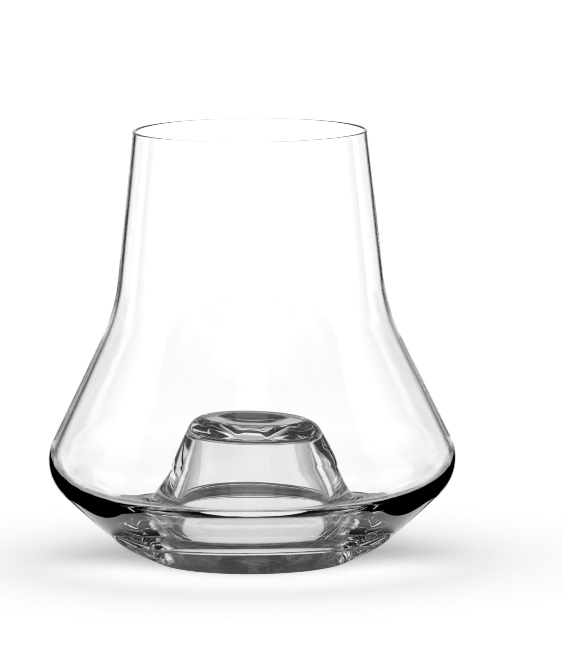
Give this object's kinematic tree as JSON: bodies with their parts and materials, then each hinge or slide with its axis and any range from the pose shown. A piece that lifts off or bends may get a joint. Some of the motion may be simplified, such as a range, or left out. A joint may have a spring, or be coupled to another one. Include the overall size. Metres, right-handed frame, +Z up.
{
  "type": "whisky nosing glass",
  "caption": "Clear stemless whisky nosing glass: tapered chimney over a wide belly, heavy base, and a hollow dome with a dimpled top rising from the floor.",
  "frame": {"origin": "centre of the foot, on the table", "axes": "+Z up along the axis of revolution, towards the rim; the glass is the same all round, so +X and +Y are free"},
  "size_m": [0.099, 0.099, 0.105],
  "materials": {
    "glass": "clear, fire-polished"
  },
  "bodies": {
    "root": {"chimney": "glass", "bowl": "glass", "base": "glass", "dome": "glass"}
  },
  "joints": []
}
